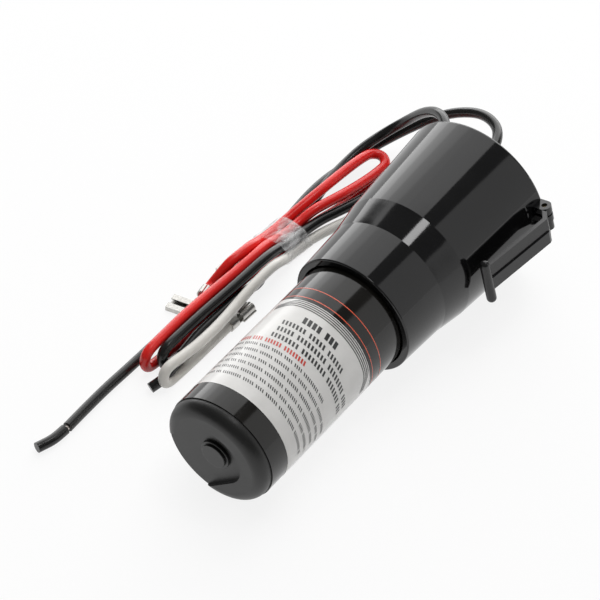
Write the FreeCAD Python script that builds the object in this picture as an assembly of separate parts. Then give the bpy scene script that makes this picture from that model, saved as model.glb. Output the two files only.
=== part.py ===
import FreeCAD, Part
import math
import os

# Compressor start relay with start capacitor, millimetres.
# The relay lies on its side as it rests on a bench: +X runs level from the foot of the
# capacitor towards the wire end, +Z is up, and the leads lie tied in a hank on the +Y side.
# Each rigid piece is drawn about the relay's own axis, with the foot's face at x = 0, and laid down.

V = FreeCAD.Vector
AXIS_X = V(1, 0, 0)
AXIS_Y = V(0, 1, 0)
AXIS_Z = V(0, 0, 1)
ORIGIN = V(0, 0, 0)

# Capacitor can
can_radius = 18.25
can_length = 86.0
can_wall = 1.4
can_floor = 4.4
foot_round = 3.7

# Recess in the foot and the vent plug in its middle
recess_depth = 1.8
recess_share = 0.55
recess_heading = -41.0
plug_flange_radius = 5.1
plug_flange_height = 1.0
plug_head_radius = 4.2
plug_head_height = 0.75
plug_stem_radius = 2.9
plug_tail_radius = 3.6
plug_tail_height = 1.2
plug_round = 0.25

# Printed sleeve shrunk over the can
sleeve_wall = 0.35
sleeve_start = 4.6
sleeve_short = 4.0

# Capacitor insides
winding_gap = 0.4
winding_core_radius = 3.0
winding_top_gap = 9.6
header_thickness = 3.0
header_inset = 1.0
tab_width = 6.3
tab_thickness = 0.8
tab_inset = 1.6
tab_rise = 9.0
tab_bevel = 1.0

# Relay housing: skirt over the can, stepped shoulder and flared chamber
skirt_overlap = 17.1
skirt_past_can = 1.1
shoulder_length = 10.4
chamber_length = 38.5
skirt_wall = 2.1
skirt_flare = 0.8
shoulder_step = 1.6
chamber_flare = 2.5
housing_wall = 2.2
rim_round = 0.9
mouth_round = 0.5
skirt_gap = 0.5
stop_ring_thickness = 2.4
stop_ring_inset = 3.45
can_seat_gap = 0.2

# End cover over the wires
cover_thickness = 2.4
cover_recess = 2.6
cover_lip = 1.2
cover_skirt = 3.0
fit_gap = 0.15
lead_hole_gap = 0.15

# Wire board under the cover
board_thickness = 1.6
board_depth = 9.0
board_post_radius = 2.0
board_post_inset = 3.0
eyelet_radius = 1.6
eyelet_flange = 2.2
eyelet_flange_height = 0.3
eyelet_rise = 0.9

# Start device: a case with its lid, a pill and two leaf springs.
# Both devices take their share of the chamber's depth and of its bore.
ptc_base_x = 2.0
ptc_depth_share = 0.72
ptc_width_share = 0.55
ptc_case_wall = 1.4
device_offset_share = 0.45
ptc_lid_thickness = 1.2
pill_share = 0.36
pill_gap = 0.45
pill_thickness = 2.7
spring_thickness = 0.4
spring_width = 10.0
spring_tail_width = 3.0
spring_tail_rise = 3.0

# Overload: a round case with a bimetal disc over two contacts
overload_radius_share = 0.475
overload_depth_share = 0.45
overload_wall = 1.6
overload_floor = 2.0
overload_cover_thickness = 1.8
disc_gap = 1.2
disc_thickness = 0.35
disc_dish = 0.9
stud_radius = 1.2
stud_share = 0.3
stud_spread = 4.4
stud_head_radius = 2.0
stud_head_height = 0.8

# Mounting clip on the -Y side, hung on a pin between lugs at the rim
clip_angle = 12.0
clip_width = 8.8
clip_thickness = 1.4
clip_pin_inset = 2.6
clip_pin_height = 2.4
clip_knee_inset = 8.0
clip_knee_height = 6.3
clip_reach = 35.0
clip_tip_height = 4.8
clip_rib_height = 0.55
clip_rib_width = 4.2
finger_length = 13.0
finger_radius = 1.6
finger_drop = 3.4
knuckle_radius = 1.9
clip_pin_radius = 0.9
pin_gap = 0.1
pin_stick_out = 0.7
pin_inset = 0.8
lug_width = 2.2
lug_round = 2.2
lug_gap = 0.15
lug_base = 0.9

# Leads and their ends
lead_radius = 1.7
core_radius = 0.9
core_bore_gap = 0.05
core_length = 5.0
arc_share = 0.45
blade_width = 6.3
blade_length = 6.6
blade_height = 1.7
sheet = 0.4
blade_curl = 2.2
barrel_gap = 0.03
barrel_start = 0.6
barrel_length = 6.0
barrel_neck = 2.4
grip_length = 3.4
tie_x = 29.5
tie_length = 13.5
tie_wall = 0.25
tie_corner_share = 0.6

# Where each lead leaves the wire board: y and z from the relay's axis, as shares of the chamber's bore
lead_holes = {
    "line_lead_a": (0.10, 0.075),
    "line_lead_b": (0.75, 0.43),
    "red_lead": (0.55, -0.10),
    "black_lead": (-0.15, -0.48),
    "white_lead": (0.38, -0.55),
}


def polygon(points):
    """A closed flat face through points."""
    return Part.Face(Part.makePolygon(list(points) + [points[0]]))


def tangent_path(points, radii, closed=False):
    """Straight runs through points, joined by tangent arcs of the given radii."""
    count = len(points)
    corners = {}
    for i in range(count):
        if not closed and i in (0, count - 1):
            continue
        if not radii[i]:
            continue
        here = points[i]
        back = (points[i - 1] - here).normalize()
        ahead = (points[(i + 1) % count] - here).normalize()
        turn = math.pi - back.getAngle(ahead)
        reach = radii[i] * math.tan(turn / 2)
        middle = (back + ahead).normalize()
        depth = radii[i] / math.cos(turn / 2) - radii[i]
        corners[i] = (here + back * reach, here + middle * depth, here + ahead * reach)
    edges = []
    for i in range(count if closed else count - 1):
        j = (i + 1) % count
        start = corners[i][2] if i in corners else points[i]
        end = corners[j][0] if j in corners else points[j]
        if start.distanceToPoint(end) > 1e-6:
            edges.append(Part.LineSegment(start, end).toShape())
        if j in corners:
            edges.append(Part.Arc(*corners[j]).toShape())
    return edges


def turned(outline, rounds=None):
    """A solid of revolution about the relay's axis, from (x, radius) points and corner rounds."""
    points = [V(x, 0, r) for x, r in outline]
    radii = [0.0] * len(points)
    for i, r in (rounds or {}).items():
        radii[i] = r
    face = Part.Face(Part.Wire(tangent_path(points, radii, closed=True)))
    return face.revolve(ORIGIN, AXIS_X, 360)


def disc(x, radius, length, y=0.0, z=0.0):
    """A round bar along the relay's axis."""
    return Part.makeCylinder(radius, length, V(x, y, z), AXIS_X)


def block(x, y, z, length, width, height):
    """A box centred in y and z, starting at x."""
    return Part.makeBox(length, width, height, V(x, y - width / 2, z - height / 2))


sleeve_radius = can_radius + sleeve_wall
sleeve_end = can_length - sleeve_short
skirt_bore = sleeve_radius + skirt_gap
mouth_x = can_length - skirt_overlap
shoulder_low_x = can_length + skirt_past_can
shoulder_top_x = shoulder_low_x + shoulder_length
rim_x = shoulder_top_x + chamber_length
mouth_radius = skirt_bore + skirt_wall
shoulder_low_radius = mouth_radius + skirt_flare
shoulder_top_radius = shoulder_low_radius + shoulder_step
rim_radius = shoulder_top_radius + chamber_flare


def outer_radius(x):
    """Radius of the housing's outside at x."""
    rings = [
        (mouth_x, mouth_radius),
        (shoulder_low_x, shoulder_low_radius),
        (shoulder_top_x, shoulder_top_radius),
        (rim_x, rim_radius),
    ]
    for (x0, r0), (x1, r1) in zip(rings, rings[1:]):
        if x <= x1:
            return r0 + (r1 - r0) * (x - x0) / (x1 - x0)
    return rim_radius


stop_ring_x = can_length + can_seat_gap
stop_ring_bore = can_radius - stop_ring_inset
chamber_x = stop_ring_x + stop_ring_thickness
chamber_bore = outer_radius(chamber_x) - housing_wall
cover_top_x = rim_x - cover_recess
cover_x = cover_top_x - cover_thickness
board_x = cover_x - board_depth
eyelet_top_x = board_x + board_thickness + eyelet_rise
chamber_depth = board_x - chamber_x
recess_arc = can_radius * recess_share
tab_spread = stop_ring_bore - tab_inset
clip_pin_x = rim_x - clip_pin_inset
clip_pin_radial = rim_radius + clip_pin_height


def hole_places():
    """The y and z of each lead's hole, by lead."""
    return {name: (y * chamber_bore, z * chamber_bore) for name, (y, z) in lead_holes.items()}


def capacitor_can():
    """Moulded can, open at the wire end, with a rounded foot and a U-shaped recess in its face."""
    shell = turned(
        [
            (0, 0),
            (0, can_radius),
            (can_length, can_radius),
            (can_length, can_radius - can_wall),
            (can_floor, can_radius - can_wall),
            (can_floor, 0),
        ],
        {1: foot_round},
    )
    pocket = disc(0, recess_arc, recess_depth)
    lane = Part.makeBox(recess_depth, can_radius + 1, 2 * recess_arc, V(0, 0, -recess_arc))
    pocket = pocket.fuse(lane)
    pocket.rotate(ORIGIN, AXIS_X, recess_heading)
    hole = disc(0, plug_stem_radius, can_floor)
    return shell.cut(pocket).cut(hole)


def vent_plug():
    """Stepped pressure plug pressed through the middle of the foot."""
    top = recess_depth - plug_flange_height - plug_head_height
    return turned(
        [
            (top, 0),
            (top, plug_head_radius),
            (top + plug_head_height, plug_head_radius),
            (top + plug_head_height, plug_flange_radius),
            (recess_depth, plug_flange_radius),
            (recess_depth, plug_stem_radius),
            (can_floor, plug_stem_radius),
            (can_floor, plug_tail_radius),
            (can_floor + plug_tail_height, plug_stem_radius),
            (can_floor + plug_tail_height, 0),
        ],
        {1: plug_round, 3: plug_round},
    )


def label_sleeve():
    """Thin printed sleeve, tight on the can."""
    return turned(
        [
            (sleeve_start, can_radius),
            (sleeve_start, sleeve_radius),
            (sleeve_end, sleeve_radius),
            (sleeve_end, can_radius),
        ]
    )


winding_x = can_floor + plug_tail_height + 2 * winding_gap
header_x = can_length - header_inset - header_thickness
winding_length = header_x - winding_x - winding_top_gap


def capacitor_winding():
    """Rolled foil winding on its hollow core."""
    radius = can_radius - can_wall - winding_gap
    return disc(winding_x, radius, winding_length).cut(disc(winding_x, winding_core_radius, winding_length))


def capacitor_header():
    """Phenolic disc that closes the can, slotted for the two tabs."""
    plate = disc(header_x, can_radius - can_wall, header_thickness)
    for side in (-1, 1):
        slot = block(header_x, 0, side * tab_spread, header_thickness, tab_width, tab_thickness)
        plate = plate.cut(slot)
    return plate


def capacitor_tab(side):
    """One spade tab of the capacitor, bevelled at its tip."""
    low = winding_x + winding_length
    high = can_length + tab_rise
    half = tab_width / 2
    outline = [
        V(low, -half, 0),
        V(high - tab_bevel, -half, 0),
        V(high, -half + tab_bevel, 0),
        V(high, half - tab_bevel, 0),
        V(high - tab_bevel, half, 0),
        V(low, half, 0),
    ]
    plate = polygon(outline).extrude(V(0, 0, tab_thickness))
    plate.translate(V(0, 0, side * tab_spread - tab_thickness / 2))
    return plate


def relay_housing():
    """Moulded housing: skirt over the can, stepped shoulder, wide chamber and the clip's lugs."""
    outside = [
        (mouth_x, mouth_radius),
        (shoulder_low_x, shoulder_low_radius),
        (shoulder_top_x, shoulder_top_radius),
        (rim_x, rim_radius),
    ]
    inside = [
        (rim_x, rim_radius - cover_lip),
        (cover_x, rim_radius - cover_lip),
        (cover_x, outer_radius(cover_x) - housing_wall),
        (shoulder_top_x, shoulder_top_radius - housing_wall),
        (chamber_x, outer_radius(chamber_x) - housing_wall),
        (chamber_x, stop_ring_bore),
        (stop_ring_x, stop_ring_bore),
        (stop_ring_x, skirt_bore),
        (mouth_x, skirt_bore),
    ]
    body = turned(outside + inside, {0: mouth_round, 3: rim_round})
    for centre in lug_centres():
        body = body.fuse(clip_lug(centre))
    for side in (-1, 1):
        post_length = board_x - chamber_x
        spread = chamber_bore - board_post_inset
        post = disc(chamber_x, board_post_radius, post_length, 0, side * spread)
        body = body.fuse(post)
    keep = turned(
        [
            (mouth_x, 0),
            (mouth_x, rim_radius + clip_width),
            (rim_x, rim_radius + clip_width),
            (rim_x, 0),
        ]
    )
    return body.common(keep).cut(clip_pin_hole()).removeSplitter()


def clip_place(shape):
    """Turns a piece drawn on the -Y side to the clip's angle round the relay."""
    shape.rotate(ORIGIN, AXIS_X, -clip_angle)
    return shape


def lug_centres():
    """Heights of the two lugs: level with the strap's upper edge and with its middle."""
    return (clip_width / 2 - lug_width / 2, 0.0)


def clip_lug(centre):
    """A rounded lug on the rim that holds the clip's pin."""
    base = outer_radius(clip_pin_x) - lug_base
    low = V(clip_pin_x - lug_round, -base, 0)
    high = V(clip_pin_x + lug_round, -base, 0)
    top = V(clip_pin_x, -(clip_pin_radial + lug_round), 0)
    left = V(clip_pin_x - lug_round, -clip_pin_radial, 0)
    right = V(clip_pin_x + lug_round, -clip_pin_radial, 0)
    edges = [
        Part.LineSegment(low, left).toShape(),
        Part.Arc(left, top, right).toShape(),
        Part.LineSegment(right, high).toShape(),
        Part.LineSegment(high, low).toShape(),
    ]
    lug = Part.Face(Part.Wire(edges)).extrude(V(0, 0, lug_width))
    lug.translate(V(0, 0, centre - lug_width / 2))
    return clip_place(lug)


def clip_pin_hole():
    """The bore through the lugs."""
    reach = clip_width
    return clip_place(
        Part.makeCylinder(clip_pin_radius + pin_gap / 2, 2 * reach, V(clip_pin_x, -clip_pin_radial, -reach), AXIS_Z)
    )


def mounting_clip():
    """Spring clip: a knuckle on the pin, a leg outwards and a long arm back along the housing."""
    half = clip_thickness / 2
    pin = V(clip_pin_x, -clip_pin_radial, 0)
    knee = V(rim_x - clip_knee_inset, -(rim_radius + clip_knee_height), 0)
    tip_x = rim_x - clip_reach
    tip = V(tip_x, -(outer_radius(tip_x) + clip_tip_height), 0)
    leg = (knee - pin).normalize()
    arm = (tip - knee).normalize()
    leg_side = V(-leg.y, leg.x, 0)
    arm_side = V(-arm.y, arm.x, 0)
    bend = (leg_side + arm_side).normalize()
    bend = bend * (half / bend.dot(arm_side))
    outline = [
        pin + leg_side * half,
        knee + bend,
        tip + arm_side * half,
        tip - arm_side * half,
        knee - bend,
        pin - leg_side * half,
    ]
    strap = polygon(outline).extrude(V(0, 0, clip_width))
    strap.translate(V(0, 0, -clip_width / 2))
    out = arm_side if arm_side.y < 0 else arm_side * -1
    rib = [
        knee + out * half - arm * clip_rib_height,
        tip + out * half,
        tip + out * (half + clip_rib_height),
        knee + out * (half + clip_rib_height) + arm * clip_rib_height,
    ]
    rib_plate = polygon(rib).extrude(V(0, 0, clip_rib_width))
    rib_plate.translate(V(0, 0, -clip_width / 2))
    strap = strap.fuse(rib_plate)
    knuckle = Part.makeCylinder(knuckle_radius, clip_width, pin - V(0, 0, clip_width / 2), AXIS_Z)
    strap = strap.fuse(knuckle)
    finger_low = -clip_width / 2 - finger_drop
    finger = Part.makeCylinder(finger_radius, finger_length, V(tip.x, tip.y, finger_low), AXIS_Z)
    for end in (finger_low, finger_low + finger_length):
        finger = finger.fuse(Part.makeSphere(finger_radius, V(tip.x, tip.y, end)))
    strap = strap.fuse(finger)
    clearance = knuckle_radius + lug_gap
    for centre in lug_centres():
        width = lug_width + 2 * lug_gap
        room = Part.makeBox(
            2 * (lug_round + lug_gap),
            clip_pin_radial + lug_round + clearance,
            width,
            V(clip_pin_x - lug_round - lug_gap, -(clip_pin_radial + lug_round + lug_gap), centre - width / 2),
        )
        strap = strap.cut(room)
    bore = Part.makeCylinder(clip_pin_radius, 2 * clip_width, pin - V(0, 0, clip_width), AXIS_Z)
    return clip_place(strap.cut(bore).removeSplitter())


def clip_pin():
    """Brass pin through the lugs and the clip's knuckle, sunk in the upper lug."""
    length = clip_width + pin_stick_out - pin_inset
    low = V(clip_pin_x, -clip_pin_radial, -clip_width / 2 - pin_stick_out)
    return clip_place(Part.makeCylinder(clip_pin_radius, length, low, AXIS_Z))


def end_cover():
    """Round cover inside the rim with a short skirt and one hole for each lead."""
    edge = rim_radius - cover_lip - fit_gap
    plug = outer_radius(cover_x - cover_skirt) - housing_wall - fit_gap
    plate = turned(
        [
            (cover_top_x, 0),
            (cover_top_x, edge),
            (cover_x, edge),
            (cover_x, plug),
            (cover_x - cover_skirt, plug),
            (cover_x - cover_skirt, plug - cover_lip),
            (cover_x, plug - cover_lip),
            (cover_x, 0),
        ]
    )
    for y, z in hole_places().values():
        plate = plate.cut(disc(cover_x, lead_radius + lead_hole_gap, cover_thickness, y, z))
    return plate


def wire_board():
    """Insulating board on two posts, drilled for the eyelets and cut clear of the cover's skirt."""
    radius = chamber_bore - fit_gap
    board = disc(board_x, radius, board_thickness)
    for y, z in hole_places().values():
        board = board.cut(disc(board_x, eyelet_radius, board_thickness, y, z))
    return board


def wire_eyelet(y, z):
    """Flanged eyelet that a lead is soldered to."""
    eyelet = disc(board_x, eyelet_radius, board_thickness + eyelet_rise, y, z)
    return eyelet.fuse(disc(board_x + board_thickness, eyelet_flange, eyelet_flange_height, y, z))


ptc_x = chamber_x + ptc_base_x
ptc_centre_y = -chamber_bore * device_offset_share
ptc_case_width = chamber_bore * ptc_width_share
ptc_case_length = chamber_depth * ptc_depth_share
pill_radius = ptc_case_length * pill_share
ptc_case_height = 2 * (pill_radius + pill_gap + ptc_case_wall)


def ptc_case():
    """Open moulded case of the start device, standing on two feet on the stop ring."""
    case = block(ptc_x, ptc_centre_y, 0, ptc_case_length, ptc_case_width, ptc_case_height)
    hollow = block(
        ptc_x + ptc_case_wall,
        ptc_centre_y,
        0,
        ptc_case_length,
        ptc_case_width - 2 * ptc_case_wall,
        ptc_case_height - 2 * ptc_case_wall,
    )
    case = case.cut(hollow)
    foot_height = ptc_case_wall
    edge = ptc_case_height / 2 - foot_height / 2
    reach_y = math.sqrt((stop_ring_bore + foot_height) ** 2 - edge ** 2)
    for side in (-1, 1):
        y = -min(reach_y, -ptc_centre_y + ptc_case_width / 2 - foot_height)
        case = case.fuse(block(chamber_x, y, side * edge, ptc_base_x, 2 * foot_height, foot_height))
    return case


def ptc_lid():
    """Lid of the start device, slotted for its two spring tails."""
    x = ptc_x + ptc_case_length
    lid = block(x, ptc_centre_y, 0, ptc_lid_thickness, ptc_case_width, ptc_case_height)
    for side in (-1, 1):
        y = spring_wall_y(side)
        lid = lid.cut(block(x, y, 0, ptc_lid_thickness, spring_thickness, spring_tail_width))
    return lid


def spring_wall_y(side):
    """Where a spring's flat back lies on the case's inner wall."""
    inner = ptc_case_width / 2 - ptc_case_wall
    return ptc_centre_y + side * (inner - spring_thickness / 2)


pill_x = ptc_x + ptc_case_wall + pill_radius + winding_gap


def ptc_pill():
    """Ceramic pill that the springs hold."""
    base = V(pill_x, ptc_centre_y - pill_thickness / 2, 0)
    return Part.makeCylinder(pill_radius, pill_thickness, base, AXIS_Y)


def ptc_spring(side):
    """Leaf spring bowed from the case's wall to the pill, with a tail out through the lid."""
    back = spring_wall_y(side)
    face = ptc_centre_y + side * (pill_thickness / 2 + spring_thickness / 2)
    low = ptc_x + ptc_case_wall + winding_gap
    high = ptc_x + ptc_case_length - ptc_case_wall
    path = [
        V(low, back, 0),
        V(low + ptc_case_wall, back, 0),
        V(pill_x - pill_radius / 3, face, 0),
        V(pill_x + pill_radius / 3, face, 0),
        V(high - ptc_case_wall, back, 0),
        V(high, back, 0),
    ]
    shift = V(0, spring_thickness / 2, 0)
    outline = [p - shift for p in path] + [p + shift for p in reversed(path)]
    leaf = polygon(outline).extrude(V(0, 0, spring_width))
    leaf.translate(V(0, 0, -spring_width / 2))
    tail_length = ptc_x + ptc_case_length + ptc_lid_thickness + spring_tail_rise - high
    tail = block(high, back, 0, tail_length, spring_thickness, spring_tail_width)
    return leaf.fuse(tail).removeSplitter()


overload_x = chamber_x
overload_centre_y = chamber_bore * device_offset_share
overload_radius = chamber_bore * overload_radius_share
overload_height = chamber_depth * overload_depth_share
stud_height = overload_height * stud_share
disc_radius = overload_radius - overload_wall - disc_gap


def overload_case():
    """Round phenolic case of the overload, seated on the stop ring."""
    case = disc(overload_x, overload_radius, overload_height, overload_centre_y, 0)
    hollow = disc(
        overload_x + overload_floor,
        overload_radius - overload_wall,
        overload_height,
        overload_centre_y,
        0,
    )
    case = case.cut(hollow)
    for side in (-1, 1):
        case = case.cut(disc(overload_x, stud_radius, overload_floor, overload_centre_y, side * stud_spread))
    return case


def overload_stud(side):
    """Fixed contact riveted through the case's floor."""
    z = side * stud_spread
    shank = disc(overload_x, stud_radius, overload_floor + stud_height, overload_centre_y, z)
    head_x = overload_x + overload_floor + stud_height
    return shank.fuse(disc(head_x, stud_head_radius, stud_head_height, overload_centre_y, z))


def bimetal_disc():
    """Dished snap disc resting on the two contacts."""
    seat = overload_x + overload_floor + stud_height + stud_head_height
    low = V(seat, 0, disc_radius)
    crown = V(seat + disc_dish, 0, 0)
    ball = (disc_radius ** 2 + disc_dish ** 2) / (2 * disc_dish)
    half_way = math.sqrt(ball ** 2 - disc_radius ** 2 / 4) - (ball - disc_dish)
    middle = V(seat + half_way, 0, disc_radius / 2)
    lift = V(disc_thickness, 0, 0)
    edges = [
        Part.Arc(low, middle, crown).toShape(),
        Part.LineSegment(crown, crown + lift).toShape(),
        Part.Arc(crown + lift, middle + lift, low + lift).toShape(),
        Part.LineSegment(low + lift, low).toShape(),
    ]
    dish = Part.Face(Part.Wire(edges)).revolve(ORIGIN, AXIS_X, 360)
    dish.translate(V(0, overload_centre_y, 0))
    return dish


def overload_cover():
    """Lid of the overload, with the screw that sets the disc."""
    x = overload_x + overload_height
    plate = disc(x, overload_radius, overload_cover_thickness, overload_centre_y, 0)
    return plate.cut(disc(x, stud_radius, overload_cover_thickness, overload_centre_y, 0))


def overload_screw():
    """Setting screw that presses the crown of the disc through the cover."""
    seat = overload_x + overload_floor + stud_height + stud_head_height
    tip = seat + disc_dish + disc_thickness
    top = overload_x + overload_height + overload_cover_thickness
    shank = disc(tip, stud_radius, top - tip, overload_centre_y, 0)
    head = disc(top, stud_head_radius, stud_head_height, overload_centre_y, 0)
    slot = block(top + stud_head_height / 2, overload_centre_y, 0, stud_head_height, sheet, 3 * stud_head_radius)
    return shank.fuse(head).cut(slot)


# Routes of the leads on the bench, in the frame of the whole part.
# Each starts on its eyelet, passes its hole in the cover, and then follows these points.
lead_routes = {
    "line_lead_a": [
        (91.0, 10.5, 28.5), (97.5, 21.0, 27.5), (98.0, 33.5, 21.5), (95.5, 44.5, 13.0), (88.0, 53.0, 6.4),
        (78.5, 57.2, 3.6), (70.0, 58.8, 2.4), (61.0, 59.7, 3.0), (52.0, 59.1, 5.4), (44.0, 57.3, 6.5),
        (37.0, 56.8, 5.0), (29.0, 56.9, 5.0), (22.0, 57.7, 5.4), (14.5, 57.8, 6.1), (4.0, 57.8, 6.3),
        (-5.0, 57.6, 6.4), (-11.0, 57.5, 6.2), (-16.5, 57.6, 5.6), (-22.5, 57.8, 3.4), (-29.0, 57.6, 1.8),
        (-43.0, 57.3, 1.8), (-57.0, 57.4, 1.8), (-73.4, 56.3, 1.8),
    ],
    "line_lead_b": [
        (79.0, 24.5, 35.6), (83.5, 31.0, 33.0), (86.8, 38.5, 26.5), (89.3, 46.0, 17.5), (86.0, 52.4, 10.8),
        (77.0, 55.8, 8.4), (68.0, 57.2, 6.7), (60.5, 57.0, 6.4), (54.0, 55.4, 6.0), (49.0, 54.8, 4.7),
        (43.5, 55.0, 2.8), (37.0, 54.9, 1.8), (29.0, 54.8, 1.8), (22.0, 54.2, 3.8), (15.0, 54.2, 5.7),
        (4.0, 54.3, 6.1), (-6.0, 54.2, 5.9), (-15.0, 53.9, 6.2), (-21.0, 51.6, 6.2), (-26.0, 48.3, 5.7),
        (-31.0, 45.8, 5.4),
    ],
    "red_lead": [
        (83.0, 17.5, 21.5), (90.5, 26.0, 14.5), (90.0, 36.0, 7.0), (83.0, 43.2, 2.4), (73.0, 46.4, 1.8),
        (62.5, 47.4, 1.8), (53.0, 48.9, 1.8), (44.0, 51.0, 1.8), (36.0, 51.4, 1.8), (29.0, 51.3, 1.9),
        (22.0, 50.7, 3.5), (15.0, 50.7, 5.4), (4.0, 50.7, 5.6), (-5.0, 50.5, 5.6), (-12.6, 50.3, 5.5),
        (-19.4, 50.7, 2.8), (-26.0, 51.8, 1.8), (-41.3, 52.0, 1.8), (-43.5, 52.0, 5.6), (-41.3, 52.0, 9.4),
        (-31.0, 52.2, 9.6), (-20.0, 52.5, 9.9), (-8.0, 52.5, 9.4), (4.0, 52.5, 9.1), (15.0, 52.6, 8.9),
        (22.0, 53.2, 7.7), (29.0, 53.3, 5.3), (37.0, 53.2, 5.0), (43.5, 52.7, 6.4), (49.5, 51.1, 7.6),
        (57.0, 48.7, 7.4), (66.0, 46.6, 6.4), (73.1, 46.1, 6.0), (77.5, 46.2, 5.9), (79.7, 50.0, 5.6),
        (77.5, 53.8, 5.3), (73.1, 53.9, 5.1), (68.0, 54.0, 4.6), (60.0, 54.7, 3.2), (52.0, 56.7, 2.0),
        (43.5, 58.5, 1.8), (36.0, 58.6, 1.8), (29.0, 58.7, 1.8), (21.0, 59.5, 2.4), (14.5, 60.3, 3.7),
        (7.5, 60.2, 3.6), (2.2, 59.9, 2.15), (-4.4, 58.6, 2.15),
    ],
    "black_lead": [
        (84.0, 2.8, 15.5), (93.5, 9.5, 10.5), (97.0, 20.5, 5.5), (94.0, 31.5, 2.4), (85.0, 38.2, 1.8),
        (74.0, 42.0, 2.6), (62.0, 44.5, 4.4), (53.0, 47.4, 5.0), (44.0, 49.4, 5.0), (36.0, 49.6, 5.0),
        (29.0, 49.6, 5.2), (22.0, 49.6, 7.2), (15.0, 49.1, 8.8), (4.0, 49.0, 9.0), (-6.0, 49.0, 9.2),
        (-15.0, 48.9, 9.4), (-25.0, 48.7, 9.6), (-36.0, 48.5, 9.4), (-38.2, 48.5, 5.6), (-36.0, 48.5, 1.8),
        (-28.0, 47.8, 1.8), (-20.0, 47.2, 1.8), (-15.5, 47.2, 1.8), (-12.0, 48.9, 1.8), (-8.0, 53.1, 1.8),
        (-4.0, 54.8, 1.9), (1.0, 54.8, 2.15), (5.75, 54.8, 2.15),
    ],
    "white_lead": [
        (82.0, 13.4, 13.0), (88.0, 20.5, 7.5), (87.0, 29.0, 2.8), (78.5, 34.8, 1.8), (66.0, 39.2, 1.8),
        (54.0, 44.0, 1.8), (44.0, 47.4, 1.8), (36.0, 47.9, 1.8), (29.0, 47.8, 1.9), (22.0, 47.2, 3.8),
        (15.0, 47.1, 5.5), (4.0, 47.1, 5.7), (-6.0, 46.8, 6.0), (-15.0, 45.2, 7.3), (-25.0, 42.8, 8.9),
        (-37.5, 41.3, 9.4), (-39.7, 41.3, 5.6), (-37.5, 41.3, 1.8), (-28.0, 41.6, 1.8), (-18.0, 42.8, 1.9),
        (-11.6, 43.8, 2.15), (-6.8, 43.8, 2.15),
    ],
}

# The loose piece of insulation at the cut end of each line lead, after a gap of bare strands
slug_routes = {
    "a": [(-74.6, 56.3, 1.8), (-80.0, 56.4, 1.8), (-85.6, 58.2, 1.8)],
    "b": [(-32.2, 45.2, 5.3), (-41.0, 44.85, 3.2), (-45.6, 46.6, 1.8)],
}


def lay_down_angle():
    """Slope of the axis when the sleeve's edge and the rim both touch the bench."""
    run = rim_x - rim_round - sleeve_start
    rise = rim_radius - rim_round - sleeve_radius
    return math.atan2(rise, run) + math.asin(rim_round / math.hypot(run, rise))


def laid(shape, place):
    """A copy of a piece drawn on the relay's axis, laid on the bench."""
    moved = shape.copy()
    moved.Placement = place.multiply(moved.Placement)
    return moved


def bench_place(rigid):
    """Tilts the relay onto the bench with the middle of its box over the origin."""
    tilt = FreeCAD.Placement(ORIGIN, FreeCAD.Rotation(AXIS_Y, -math.degrees(lay_down_angle())))
    box = FreeCAD.BoundBox()
    for shape in rigid:
        copy = laid(shape, tilt)
        box.add(copy.optimalBoundingBox(False, False))
    shift = V(-box.Center.x, -box.Center.y, -box.ZMin)
    return FreeCAD.Placement(shift, FreeCAD.Rotation()).multiply(tilt)


def route_radii(points):
    """Arc radius at each point: as large as its share of the shorter run beside it allows."""
    radii = [0.0] * len(points)
    for i in range(1, len(points) - 1):
        back = points[i - 1] - points[i]
        ahead = points[i + 1] - points[i]
        turn = math.pi - back.getAngle(ahead)
        radii[i] = arc_share * min(back.Length, ahead.Length) / math.tan(turn / 2)
    return radii


def tube(points, radius):
    """A round cord along tangent runs and arcs, with its length and tightest arc."""
    radii = route_radii(points)
    path = Part.Wire(tangent_path(points, radii))
    ring = Part.Wire(Part.makeCircle(radius, points[0], points[1] - points[0]))
    return path.makePipeShell([ring], True, True), path.Length, min(radii[1:-1])


def crimp(radius, length, opening):
    """A rolled crimp open at the top, lying along x."""
    ring = Part.makeCylinder(radius + sheet, length, ORIGIN, AXIS_X)
    ring = ring.cut(Part.makeCylinder(radius, length, ORIGIN, AXIS_X))
    gap = Part.makeBox(length, opening, 2 * radius, V(0, -opening / 2, 0))
    return ring.cut(gap)


def flag_terminal():
    """Female flag terminal: grip and barrel along +x, receptacle out along +y. The wire is at +x."""
    grip_inner = lead_radius + barrel_gap
    floor = -grip_inner - sheet
    half = blade_width / 2
    curl_top = floor + blade_height
    profile = [
        V(-half, 0, floor),
        V(half, 0, floor),
        V(half, 0, curl_top),
        V(half - blade_curl, 0, curl_top),
        V(half - blade_curl, 0, curl_top - sheet),
        V(half - sheet, 0, curl_top - sheet),
        V(half - sheet, 0, floor + sheet),
        V(sheet - half, 0, floor + sheet),
        V(sheet - half, 0, curl_top - sheet),
        V(blade_curl - half, 0, curl_top - sheet),
        V(blade_curl - half, 0, curl_top),
        V(-half, 0, curl_top),
    ]
    blade_y = grip_inner + sheet
    blade = polygon(profile).extrude(V(0, blade_length, 0))
    blade.translate(V(0, blade_y, 0))
    neck = Part.makeBox(blade_width, blade_y + grip_inner, sheet, V(-half, -grip_inner, floor))
    barrel_x = barrel_start - half
    barrel = crimp(core_radius + sheet, barrel_length, sheet)
    barrel.translate(V(barrel_x, 0, floor + core_radius + 2 * sheet))
    grip_x = barrel_x + barrel_length + barrel_neck
    grip = crimp(grip_inner, grip_length, sheet)
    grip.translate(V(grip_x, 0, 0))
    strip = Part.makeBox(grip_x + sheet, 2 * core_radius, sheet, V(0, -core_radius, floor))
    terminal = blade.fuse(neck).fuse(barrel).fuse(strip).fuse(grip)
    return terminal.removeSplitter(), grip_x


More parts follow.
